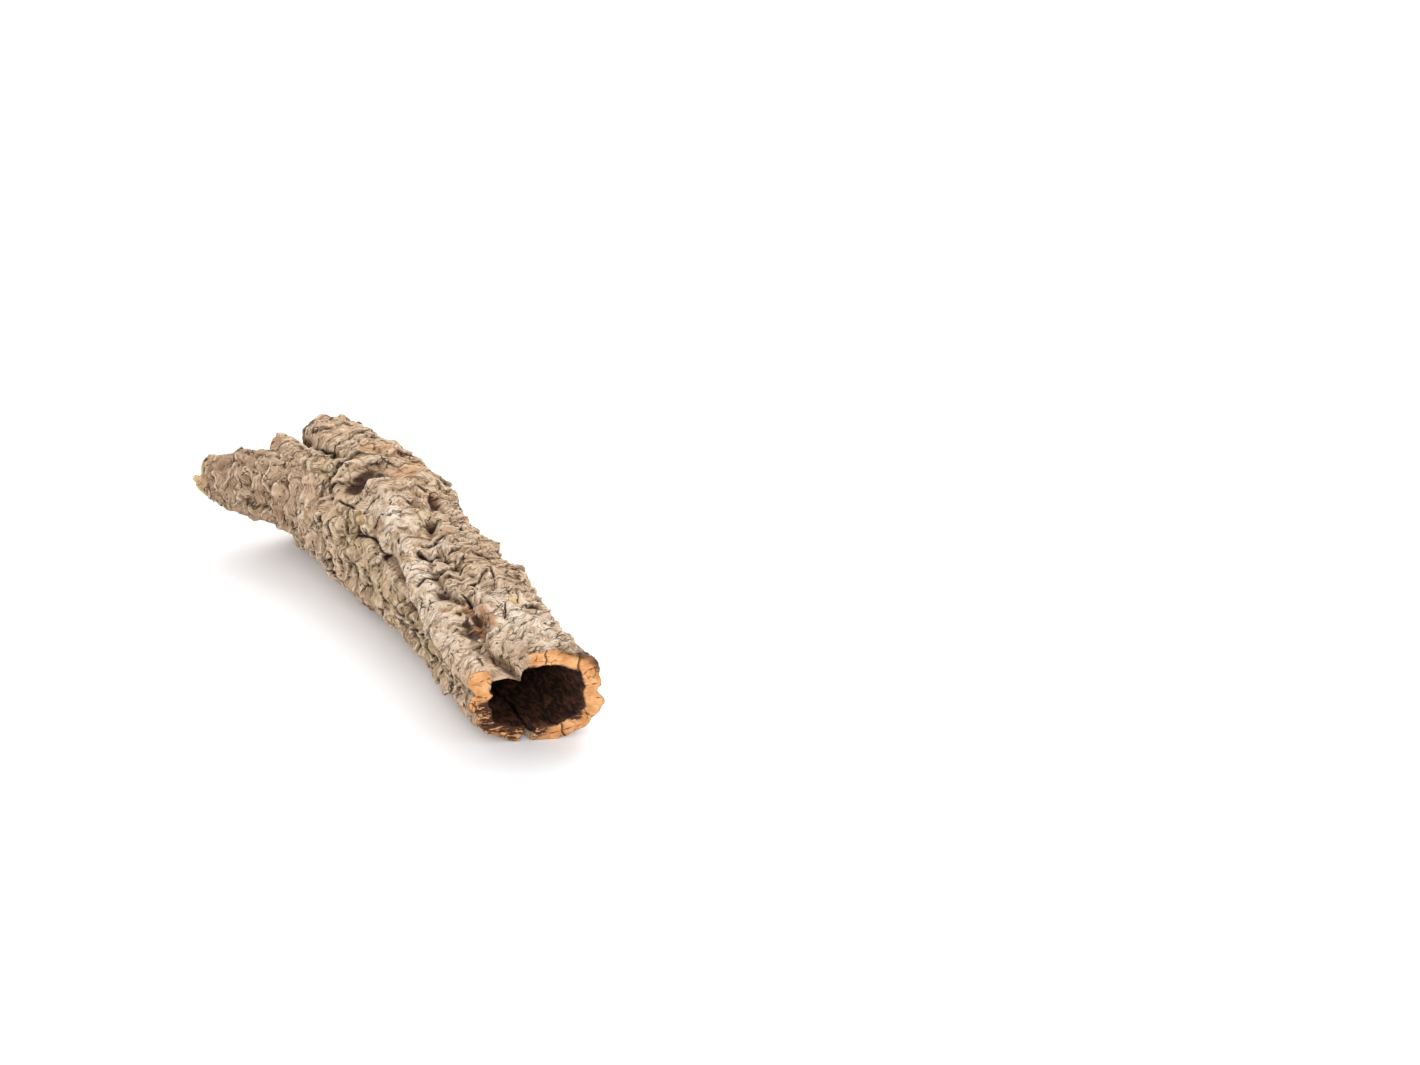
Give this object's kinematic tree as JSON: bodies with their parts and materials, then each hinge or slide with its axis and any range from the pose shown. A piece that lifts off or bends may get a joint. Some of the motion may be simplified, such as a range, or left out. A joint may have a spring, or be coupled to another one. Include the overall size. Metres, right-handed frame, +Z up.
{
  "type": "piece of cork bark",
  "caption": "Hollow tube of rough cork bark, sawn off at one end and broken at the other, with a short open side branch.",
  "frame": {"origin": "centre of the bounding box, on the surface that the piece lies on", "axes": "+X along the tube towards its sawn end, +Z up, the side branch leans towards -Y at the -X end"},
  "size_m": [0.3012, 0.1225, 0.0771],
  "materials": {
    "cork": "matte"
  },
  "bodies": {
    "root": {"bark": "cork"}
  },
  "joints": []
}
